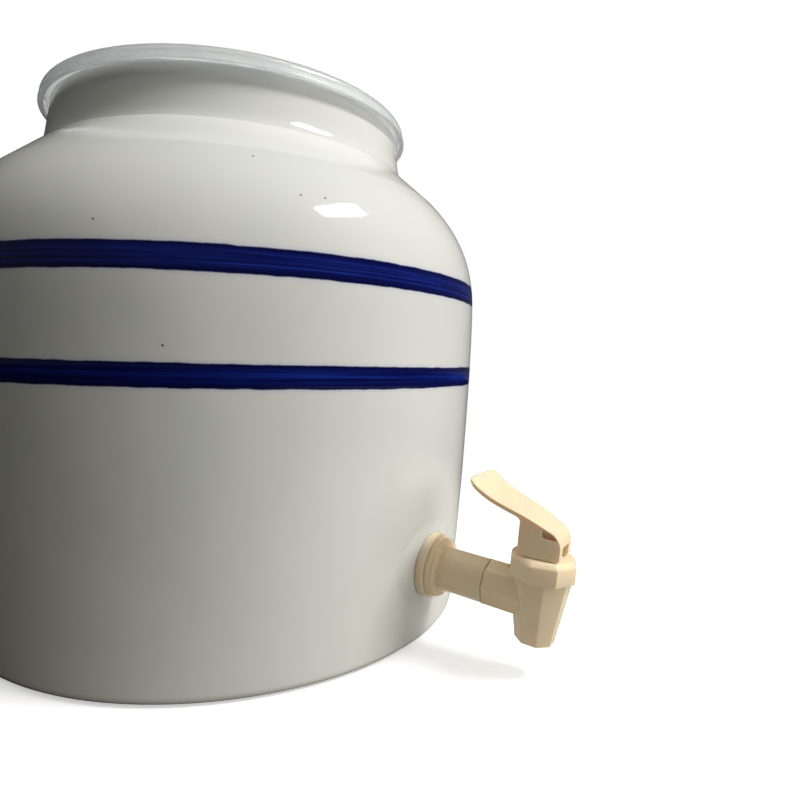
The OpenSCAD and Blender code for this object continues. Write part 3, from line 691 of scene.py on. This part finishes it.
print("bands")
bandLook = {"proud": 0.07, "edgeSunk": 0.12, "sunk": 0.25, "feather": 0.9, "wander": 0.32, "rows": 14}


def bandOutline(band):
    low = band["middle"] - band["width"] / 2
    high = band["middle"] + band["width"] / 2
    face = []
    edgeSunk = bandLook["edgeSunk"]
    for z in evenSteps(low, high, bandLook["rows"]):
        rise = smoothStep(min(z - low, high - z) / bandLook["feather"])
        face.append((wallRadius(z) - edgeSunk + (bandLook["proud"] + edgeSunk) * rise, z))
    back = [(wallRadius(z) - bandLook["sunk"], z) for z in (high, band["middle"], low)]
    return face + back


for node, band in bands.items():
    piece = turned("painted_" + node, bandOutline(band), cobalt, closed=True, **clayTurning,
                   **{"Edge Wander": bandLook["wander"] * mm})
    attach(piece, "crock_with_tap")
    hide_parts(node)


print("bottle ring")
ring = {
    "thickness": 2, "rounding": 4.2, "bead": 0.5, "seatRise": 0.3,
    "skirtGap": 2, "skirtDrop": 3.2,
    "innerGap": 0.8, "innerDrop": 12,
}


def ringOutline():
    thickness = ring["thickness"]
    seat = rimTop + ring["seatRise"]
    top = seat + thickness + 1.6
    skirtIn = rimRadius + ring["skirtGap"]
    skirtOut = skirtIn + thickness
    skirtLow = rimTop - ring["skirtDrop"]
    innerOut = mouthRadius - ring["innerGap"]
    innerIn = innerOut - thickness
    innerLow = rimTop - ring["innerDrop"]
    rounding = ring["rounding"]
    beadOut = skirtOut + ring["bead"]
    points = softOutline([
        (skirtIn, seat - 1, 0), (skirtIn, skirtLow, 0.3), (beadOut, skirtLow, 0.45),
        (beadOut, skirtLow + 1.1, 0.5), (skirtOut, skirtLow + 1.4, 0.3), (skirtOut, top - rounding, 0),
    ], steps=4)
    points += arcPoints((skirtOut - rounding, top - rounding), rounding, 0, 90, 12)[1:]
    points += softOutline([
        (skirtOut - rounding - 0.6, top, 0), (skirtOut - rounding - 1.4, top, 0.9),
        (innerIn + 1.6, seat + 0.9, 1.5), (innerIn + 0.2, seat - 0.2, 1.2), (innerIn, seat - 2, 1),
        (innerIn, innerLow, 0.5), (innerOut, innerLow, 0.5),
        (innerOut, seat, 0.8), (skirtIn, seat, 0.8), (skirtIn, seat - 0.95, 0),
    ], steps=5)
    return points


bottleRing = turned("clear_bottle_ring", ringOutline(), milkyPlastic, closed=True, sharpAngle=60,
                    **{"Steps Around": 256})
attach(bottleRing, "ring")
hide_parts("bottle_ring")


print("shank and washers")
washerBore = tap["threadRadius"] + tap["washerGap"]
washer = turned("soft_washer", softOutline([
    (washerBore, washerStart + 1, 0), (washerBore, washerStart, 0.2),
    (tap["washerRadius"], washerStart, 0.6), (tap["washerRadius"], flangeStart, 0.7),
    (washerBore, flangeStart, 0.2), (washerBore, washerStart + 1.2, 0),
], steps=6), washerPlastic, shankPlace, closed=True)
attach(washer, "crock_with_tap")
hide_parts("outer_washer")


def shankOutline():
    tail, bore, flange, tube = [tap[part + "Radius"] for part in ("thread", "bore", "flange", "tube")]
    leadEnd = threadEnd + tap["threadLead"]
    points = [(bore, threadEnd + 1)]
    points += softOutline([
        (bore, threadEnd + 0.5, 0), (bore, threadEnd, 0.4), (tail, threadEnd, 0.9), (tail, leadEnd, 0),
    ])
    points += [(tail, s) for s in evenSteps(leadEnd, flangeStart - 0.3, 84)[1:]]
    stepRadius, stepWidth = tap["flangeStep"]
    lipHeight, lipWidth = tap["tubeLip"]
    socketFloor = tubeEnd - tap["socketDepth"]
    points += softOutline([
        (tail, flangeStart - 0.2, 0), (tail, flangeStart, 0), (flange, flangeStart, 0.5),
        (flange, tubeStart - stepWidth, 0.35), (stepRadius, tubeStart - stepWidth, 0.15),
        (stepRadius, tubeStart, 0.5), (tube, tubeStart, tap["flangeFillet"]),
        (tube, tubeEnd - lipWidth, 0.15), (tube + lipHeight, tubeEnd - lipWidth, 0.1),
        (tube + lipHeight, tubeEnd, 0.12), (tap["socketRadius"], tubeEnd, 0.2),
        (tap["socketRadius"], socketFloor, 0.2), (bore, socketFloor, 0.2), (bore, leadEnd, 0),
    ], steps=6)
    return points


shank = turned("threaded_shank", shankOutline(), cream, shankPlace, closed=True, sharpAngle=32, **{
    "Thread Pitch": tap["threadPitch"] * mm,
    "Thread Depth": tap["threadDepth"] * mm,
    "Thread Start": (threadEnd + 0.6) * mm,
    "Thread End": (flangeStart - 0.5) * mm,
})
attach(shank, "crock_with_tap")
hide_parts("shank")


# Eight flats, counted from the middle of a flat to its corner
halfFlat = math.pi / 8
cornerSteps = 4


def octagon(circumradius, rounding):
    # Corners at 22.5 degrees and every 45 degrees after, so that flats face the axes
    inner = (circumradius * math.cos(halfFlat) - rounding) / math.cos(halfFlat)
    points = []
    for corner in range(8):
        heading = halfFlat + corner * math.pi / 4
        for step in range(cornerSteps + 1):
            angle = heading - halfFlat + math.pi / 4 * step / cornerSteps
            points.append((inner * math.cos(heading) + rounding * math.cos(angle),
                           inner * math.sin(heading) + rounding * math.sin(angle)))
    return points


def circle(radius):
    angles = [math.atan2(y, x) for x, y in octagon(10, 1)]
    return [(radius * math.cos(angle), radius * math.sin(angle)) for angle in angles]


def loft(name, rings, finish, place, joinEnds=False, sharpAngle=28):
    # rings holds (outline points, height), all with the same number of points
    bm = bmesh.new()
    loops = [[bm.verts.new((x * mm, y * mm, height * mm)) for x, y in outline] for outline, height in rings]
    pairs = list(zip(loops, loops[1:]))
    if joinEnds:
        pairs.append((loops[-1], loops[0]))
    for low, high in pairs:
        count = len(low)
        for i in range(count):
            j = (i + 1) % count
            bm.faces.new((low[i], low[j], high[j], high[i]))
    if not joinEnds:
        bm.faces.new(list(reversed(loops[0])))
        bm.faces.new(loops[-1])
    mesh = outwardMesh(bm, name)
    mesh.materials.append(finish)
    mesh.transform(place)
    return refreshShading(newObject(name, mesh), sharpAngle)


def softFoot(circumradius, rounding, height, edge):
    # The lowest rings of a prism, rolled over by a small edge radius
    rings = []
    for step in range(cornerSteps + 1):
        angle = math.pi / 2 * step / cornerSteps
        shrink = edge * (1 - math.cos(angle)) / math.cos(halfFlat)
        outline = octagon(circumradius - shrink, max(0.15, rounding - shrink * 0.4))
        rings.append((outline, height + edge * (1 - math.sin(angle))))
    return rings


print("tap body")
armPlace = shankPlace @ turnBy(22.5, "Z")
armRadius = tap["armCorners"] / 2
bevel = tap["armBevel"]
# How far in from the arm's flats, and how far out from the tube
armSteps = ((bevel * 0.62, 0), (bevel * 0.5, 0.12), (bevel * 0.15, bevel * 0.62), (0, bevel * 1.05),
            (0, tap["armLength"] - 0.5))
tapBody = loft("tapBody", [(octagon(armRadius - inset, 0.6), tubeEnd + out) for inset, out in armSteps],
               cream, armPlace)
outletTop = tap["outletTop"] / 2
outletFoot = tap["outletFoot"] / 2
outletEnd = -tap["outletDrop"]
bonnetFoot = tap["bonnetFoot"]
bonnetNeck = tap["neckRadius"]
clearTop = tap["clearHeight"]
outletShell = loft("outletShell", list(reversed(
    [(octagon(outletTop, 0.9), bonnetFoot)] + softFoot(outletFoot + 0.05, 0.8, outletEnd, 0.6)
)), cream, outletPlace)
bodyNeck = turned("bodyNeck", softOutline([
    (0, 2, 0), (bonnetNeck, 2, 0), (bonnetNeck, bonnetFoot + tap["neckHeight"], 0.3),
    (0, bonnetFoot + tap["neckHeight"], 0),
]), cream, outletPlace)
spigotEnd = tubeEnd - tap["spigotDepth"]
spigotRoot = tubeEnd + 3
spigotRadius = tap["spigotRadius"]
grooveStart, grooveEnd = [tubeEnd - reach for reach in tap["grooveReach"]]
spigot = turned("spigot", softOutline([
    (0, spigotEnd, 0), (spigotRadius, spigotEnd, 0.6), (spigotRadius, grooveStart, 0),
    (tap["grooveRadius"], grooveStart, 0), (tap["grooveRadius"], grooveEnd, 0),
    (spigotRadius, grooveEnd, 0), (spigotRadius, spigotRoot, 0), (0, spigotRoot, 0),
]), cream, shankPlace)
bonnetRoom = turned("bonnetRoom", [
    (bonnetNeck - 0.5, bonnetFoot), (tap["clearRadius"], bonnetFoot), (tap["clearRadius"], clearTop),
    (bonnetNeck - 0.5, clearTop),
], cream, outletPlace, closed=True)
combine(tapBody, [bonnetRoom], "DIFFERENCE")
combine(tapBody, [outletShell, bodyNeck, spigot], "UNION")
seatInner, seatOuter = tap["seatRadii"]
chamber = turned("chamber", [
    (0, outletEnd - 2), (tap["outletBore"], outletEnd - 2), (tap["outletBore"], tap["seatFoot"]),
    (seatInner, tap["seatFoot"]), (seatInner, -tap["seatDepth"]), (seatOuter, -tap["seatDepth"]),
    (seatOuter, tap["chamberFloor"]), (tap["chamberRadius"], tap["chamberFloor"]),
    (tap["chamberRadius"], clearTop), (0, clearTop),
], cream, outletPlace)
inletBore = turned("inletBore", [
    (0, tubeEnd - 12), (tap["armBore"], tubeEnd - 12), (tap["armBore"], outletAt), (0, outletAt),
], cream, shankPlace)
combine(tapBody, [chamber, inletBore], "DIFFERENCE")
modified(tapBody, "BEVEL", width=tap["softEdge"] * mm, segments=2, limit_method="ANGLE",
         angle_limit=math.radians(42), miter_outer="MITER_ARC")
tapBody.name = "tap_arm_and_outlet"
refreshShading(tapBody, 26)
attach(tapBody, "crock_with_tap")
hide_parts("tap_body")

print("bonnet")
bonnetRadius = tap["bonnetCorners"] / 2
bonnetTop = bonnetFoot + tap["bonnetHeight"]
bevel = tap["bonnetBevel"]
bonnetBore = bonnetNeck + 0.05
stemHole = tap["stemRadius"]
skirtTop = bonnetFoot + tap["bonnetSkirt"]
roof = bonnetTop - tap["bonnetRoof"]
bonnetPlace = outletPlace @ turnBy(tap["bonnetTurn"], "Z")
# Inset, rounding and depth below the top, up the outside and over the bevel
bevelSteps = ((0, 0.7, bevel + 0.5), (0.12, 0.8, bevel + 0.1), (0.4, 0.9, bevel - 0.35),
              (bevel - 0.25, 1.1, 0.25), (bevel + 0.1, 1.1, 0.05), (bevel + 0.5, 1.2, 0))
boreSteps = ((bonnetBore, skirtTop), (bonnetBore, bonnetFoot + 0.3), (bonnetBore + 0.3, bonnetFoot))
wellSteps = ((stemHole + 0.5, bonnetTop), (stemHole, bonnetTop - 0.4), (stemHole, roof),
             (tap["springWell"], roof), (tap["springWell"], skirtTop))
bonnetRings = [(circle(radius), height) for radius, height in boreSteps]
bonnetRings += reversed(softFoot(bonnetRadius, 0.7, bonnetFoot, 0.35))
bonnetRings += [(octagon(bonnetRadius - inset, rounding), bonnetTop - depth)
                for inset, rounding, depth in bevelSteps]
bonnetRings += [(circle(radius), height) for radius, height in wellSteps]
bonnet = loft("bonnet_cap", bonnetRings, cream, bonnetPlace, joinEnds=True)
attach(bonnet, "crock_with_tap")
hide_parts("bonnet")

print("lever")
lever = {
    "width": 15.2, "front": 8.6, "back": 8.1, "reach": 31, "endWidth": 27.2, "bow": 0.75,
    "pinHeight": 7, "camRadius": 4,
    "topHeight": 13.85, "rise": 0.46, "dip": 7.5, "curl": 7.85,
    "thickness": 2, "cornerRounding": 3, "noseRadius": 7.8, "frontRounding": 1.4,
    "slotWidth": 8, "slotHeight": 5.3, "slotWall": 1.7, "headGap": 0.8,
    "pocketDepth": 2, "pocketHeight": 8.6, "pocketRoof": 1, "pocketBack": -0.3, "pocketRounding": 1.5,
    "pinRadius": 1.2, "pinLength": 11.4, "bossWall": 2, "bossGap": 0.2,
    "grain": 0.17, "smoothing": 6, "keep": 0.3,
}
leverPlace = outletPlace @ Matrix.Translation((0, 0, (bonnetTop + tap["leverGap"]) * mm))
leverFront = lever["front"]


def paddleTop(u):
    share = u / lever["reach"]
    return lever["topHeight"] + lever["rise"] * u - lever["dip"] * share ** 2 + lever["curl"] * share ** 4


def leverHalf(u):
    share = (u + leverFront) / (lever["reach"] + leverFront)
    straight = (lever["width"] + (lever["endWidth"] - lever["width"]) * share) / 2
    return straight + 4 * lever["bow"] * share * (1 - share)


# Middle of the rounded front, and the direction in which its arc runs out
noseLean = math.atan(lever["rise"])
noseAt = lever["noseRadius"] - leverFront
noseHeight = paddleTop(noseAt) - lever["noseRadius"] / math.cos(noseLean)
noseEnd = 90 + math.degrees(noseLean)


def leverSide():
    back, reach, thickness, nose, cam, rounding = [
        lever[name] for name in ("back", "reach", "thickness", "noseRadius", "camRadius", "frontRounding")
    ]
    noseTo = noseAt - nose * math.sin(noseLean)
    points = arcPoints((rounding - leverFront, rounding), rounding, -90, -180, 6)
    points += arcPoints((noseAt, noseHeight), nose, 180, noseEnd, 20)
    points += [(u, paddleTop(u)) for u in evenSteps(noseTo, reach - 0.7, 36)[1:]]
    points += [(reach, paddleTop(reach) - 0.7), (reach, paddleTop(reach) - thickness + 0.7)]
    points += [(u, paddleTop(u) - thickness) for u in evenSteps(reach - 0.7, back + 1.2, 24)]
    points += [(back + 0.35, paddleTop(back) - thickness - 0.3), (back, paddleTop(back) - thickness - 1.2)]
    return points + arcPoints((back - cam, cam), cam, 0, -90, 10)


def extruded(name, outline, low, high, turn):
    # A flat outline pushed along Z, then turned into place
    return loft(name, [(outline, low), (outline, high)], cream, leverPlace @ turn, sharpAngle=35)


def leverPlan():
    rounding = lever["cornerRounding"]
    corner = lever["reach"] - rounding
    side = [(leverHalf(-leverFront), -leverFront - 1)]
    side += [(leverHalf(u), u) for u in evenSteps(-leverFront, corner, 14)]
    side += arcPoints((leverHalf(corner) - rounding, corner), rounding, 10, 90, 8)
    return side + [(-x, y) for x, y in reversed(side)]


# Turns an outline drawn as (behind the pin, up) so that its thickness runs along X
sideTurn = turnBy(90, "Z") @ turnBy(90, "X")
noTurn = Matrix.Identity(4)
leverBody = extruded("leverBody", leverSide(), -lever["endWidth"], lever["endWidth"], sideTurn)
plan = extruded("plan", leverPlan(), -1, 40, noTurn)
combine(leverBody, [plan], "INTERSECT")


def blockCutter(name, x, y, z):
    outline = [(x[0], y[0]), (x[1], y[0]), (x[1], y[1]), (x[0], y[1])]
    return extruded(name, outline, z[0], z[1], noTurn)


slotHalf = lever["slotWidth"] / 2
slotBack = lever["back"] - lever["slotWall"]
headFront = tap["stemRadius"] + 2 * lever["headGap"]
headTop = lever["pinHeight"] + tap["stemRadius"] + lever["headGap"]
combine(leverBody, [
    blockCutter("slot", (-slotHalf, slotHalf), (-leverFront - 1, slotBack), (-1, lever["slotHeight"])),
    blockCutter("slotHead", (-slotHalf, slotHalf), (-headFront, slotBack), (1, headTop)),
], "DIFFERENCE")


def pocketOutline():
    low, roof, back, rounding = [lever["pocket" + part] for part in ("Height", "Roof", "Back", "Rounding")]
    nose = lever["noseRadius"] - roof
    lowAngle = 180 - math.degrees(math.asin((low - noseHeight) / nose))
    points = arcPoints((back - rounding, low + rounding), rounding, -90, 0, 6)
    points.append((back, paddleTop(back) - roof))
    return points + arcPoints((noseAt, noseHeight), nose, noseEnd, lowAngle, 8)


def pocketTurn(side):
    # The floor of the hollow runs along the tapered side of the lever
    frontHalf = leverHalf(-leverFront)
    taper = math.atan((leverHalf(0) - frontHalf) / leverFront)
    inset = (frontHalf - lever["pocketDepth"]) * mm
    place = Matrix.Translation((side * inset, -leverFront * mm, 0)) @ Matrix.Rotation(-side * taper, 4, "Z")
    return place @ Matrix.Translation((0, leverFront * mm, 0)) @ sideTurn


combine(leverBody, [
    extruded("pocketRight", pocketOutline(), 0, 9, pocketTurn(1)),
    extruded("pocketLeft", pocketOutline(), -9, 0, pocketTurn(-1)),
], "DIFFERENCE")


def boss(name, low, high, radius):
    outline = arcPoints((0, lever["pinHeight"]), radius, 0, 360, 40)[:-1]
    return extruded(name, outline, low, high, sideTurn)


bossRadius = lever["pinRadius"] + lever["bossWall"]
bossInner = tap["stemRadius"] + lever["bossGap"]
combine(leverBody, [
    boss("bossRight", bossInner, slotHalf + 0.1, bossRadius),
    boss("bossLeft", -slotHalf - 0.1, -bossInner, bossRadius),
], "UNION")
socket = lever["pinLength"] / 2 + lever["bossGap"]
combine(leverBody, [boss("pinHole", -socket, socket, lever["pinRadius"] + 0.05)], "DIFFERENCE")


# An even skin whose edges are rolled over, as a moulded piece's are
modified(leverBody, "REMESH", mode="VOXEL", voxel_size=lever["grain"] * mm)
modified(leverBody, "SMOOTH", factor=0.5, iterations=lever["smoothing"])
modified(leverBody, "DECIMATE", ratio=lever["keep"])
leverBody.name = "push_lever"
refreshShading(leverBody, 70)
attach(leverBody, "handle")
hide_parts("lever")


print("finishes")
finishes = {
    "lock_nut": cream, "gland_washer": cream, "stem": cream,
    "inner_washer": sealRubber, "spigot_oring": sealRubber, "bonnet_gasket": sealRubber,
    "stem_oring": sealRubber, "valve_seal": sealRubber, "lever_pin": drawnSteel,
}
for node, finish in finishes.items():
    target = frame["nodes"][node]
    if not target.material_slots:
        target.data.materials.append(finish)
    for slot in target.material_slots:
        slot.material = finish


def buildSpring():
    # A steel copy of the spring's CAD mesh, fixed with the crock. The real coil closes up against the gland
    # washer while the stem rises, but this copy doesn't
    source = frame["nodes"]["return_spring"]
    bm = bmesh.new()
    bm.from_mesh(source.data)
    bm.transform(source.matrix_world)
    for face in bm.faces:
        face.material_index = 0
    mesh = outwardMesh(bm, "coil_spring")
    mesh.materials.append(drawnSteel)
    piece = refreshShading(newObject("coil_spring", mesh))
    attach(piece, "crock_with_tap")
    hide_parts("return_spring")
    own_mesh(piece)


buildSpring()

print("floor, light and camera")
stage = {
    "floorRadius": 3.0, "floorDrop": 0.0003,
    "floorLit": (0.50, 0.49, 0.46, 1), "floorDim": (0.03, 0.03, 0.025, 1),
    "litMiddle": (0.08, -0.26, 0), "litReach": (0.14, 0.40),
    "floorSeen": (1.45, 1.45, 1.45, 1), "white": (1, 1, 1, 1),
    "leastWhite": 0.5, "shadowReach": (0.17, 0.42),
    "roomTone": (1.0, 0.95, 0.78, 1), "roomStrength": 0.045,
    "mirroredTone": (0.06, 0.06, 0.065, 1),
}


def seenDirectly(tree, rays):
    return mathNode(tree, "MAXIMUM", rays["Is Camera Ray"], rays["Is Transmission Ray"])


def buildFloor():
    bm = bmesh.new()
    bmesh.ops.create_circle(bm, cap_ends=True, segments=96, radius=stage["floorRadius"])
    mesh = bpy.data.meshes.new("floor")
    bm.to_mesh(mesh)
    bm.free()
    floor = newObject("floor", mesh)
    floor.location.z = -stage["floorDrop"]
    material, tree, shader, position = newMaterial("paleFloor")
    tree.nodes.remove(shader)
    # The camera sees white paper with a soft shadow, and the glaze a patch that is lit near the tap
    seen = addNode(tree, "ShaderNodeBsdfDiffuse", {"Color": stage["floorSeen"]})
    white = addNode(tree, "ShaderNodeEmission", {"Color": stage["white"]})
    lit = mapRange(tree, distanceTo(tree, position, stage["litMiddle"]), *stage["litReach"])
    tone = mixColour(tree, lit, stage["floorLit"], stage["floorDim"])
    plain = addNode(tree, "ShaderNodeBsdfDiffuse", {"Color": tone})
    distance = distanceTo(tree, position, (0, 0, 0))
    whiteness = mapRange(tree, distance, *stage["shadowReach"], stage["leastWhite"], 1.0)
    shown = mixShaders(tree, whiteness, seen.outputs["BSDF"], white.outputs["Emission"])
    rays = addNode(tree, "ShaderNodeLightPath").outputs
    blend = mixShaders(tree, seenDirectly(tree, rays), plain.outputs["BSDF"], shown)
    tree.links.new(blend, tree.nodes["Material Output"].inputs["Surface"])
    mesh.materials.append(material)


def buildWorld():
    world = bpy.data.worlds.new("room")
    world.use_nodes = True
    tree = world.node_tree
    room = setInputs(tree, tree.nodes["Background"], {
        "Color": stage["roomTone"], "Strength": stage["roomStrength"],
    }).outputs[0]
    mirrored, white = [
        addNode(tree, "ShaderNodeBackground", {"Color": stage[tone]}).outputs[0]
        for tone in ("mirroredTone", "white")
    ]
    rays = addNode(tree, "ShaderNodeLightPath").outputs
    around = mixShaders(tree, rays["Is Glossy Ray"], room, mirrored)
    blend = mixShaders(tree, seenDirectly(tree, rays), around, white)
    tree.links.new(blend, tree.nodes["World Output"].inputs["Surface"])
    scene.world = world


# Each lamp: where it stands and aims, its width and height in metres, watts, colour, and whether
# the glaze mirrors it
lamps = {
    "window": {"at": (0.316, -1.088, 1.505), "aim": (-0.054, -0.116, 0.186), "size": (0.60, 0.217),
               "watts": 24.0, "colour": (1.0, 0.99, 0.97), "mirrored": True},
    "softbox": {"at": (0.55, -1.85, 0.95), "aim": (0.0, -0.05, 0.10), "size": (2.2, 1.5),
                "watts": 25.0, "colour": (1.0, 0.99, 0.97), "mirrored": False},
    "ceiling": {"at": (-0.55, -0.15, 1.5), "aim": (-0.05, -0.05, 0.2), "size": (1.2, 1.2),
                "watts": 5.0, "colour": (1.0, 0.99, 0.95), "mirrored": False},
}


def buildLamps():
    for name, look in lamps.items():
        lamp = bpy.data.lights.new(name, "AREA")
        lamp.shape = "RECTANGLE"
        lamp.size, lamp.size_y = look["size"]
        lamp.energy = look["watts"]
        lamp.color = look["colour"]
        holder = newObject(name, lamp)
        place = Vector(look["at"])
        heading = Vector(look["aim"]) - place
        holder.location = place
        holder.rotation_euler = heading.to_track_quat("-Z", "Y").to_euler()
        holder.visible_glossy = look["mirrored"]


# The camera stands 349 mm from the axis and 131 mm up. Its heading is counted from +Y towards +X.
view = {
    "distance": 349.2, "side": 42.75, "height": 130.8,
    "heading": 58.455, "pitch": -3.965, "roll": 1.558, "lens": 26.83, "sensor": 36,
}


def buildCamera():
    camera = bpy.data.cameras.new("camera")
    camera.lens = view["lens"]
    camera.sensor_width = view["sensor"]
    camera.clip_start = 0.01
    holder = newObject("camera", camera)
    side = math.radians(view["side"])
    distance = view["distance"] * mm
    place = Matrix.Translation((-distance * math.sin(side), -distance * math.cos(side),
                                view["height"] * mm))
    turn = turnBy(-view["heading"], "Z") @ turnBy(90 + view["pitch"], "X") @ turnBy(view["roll"], "Z")
    holder.matrix_world = place @ turn
    scene.camera = holder


buildFloor()
buildWorld()
buildLamps()
buildCamera()
scene.view_settings.view_transform = "Standard"

bpy.context.view_layer.update()
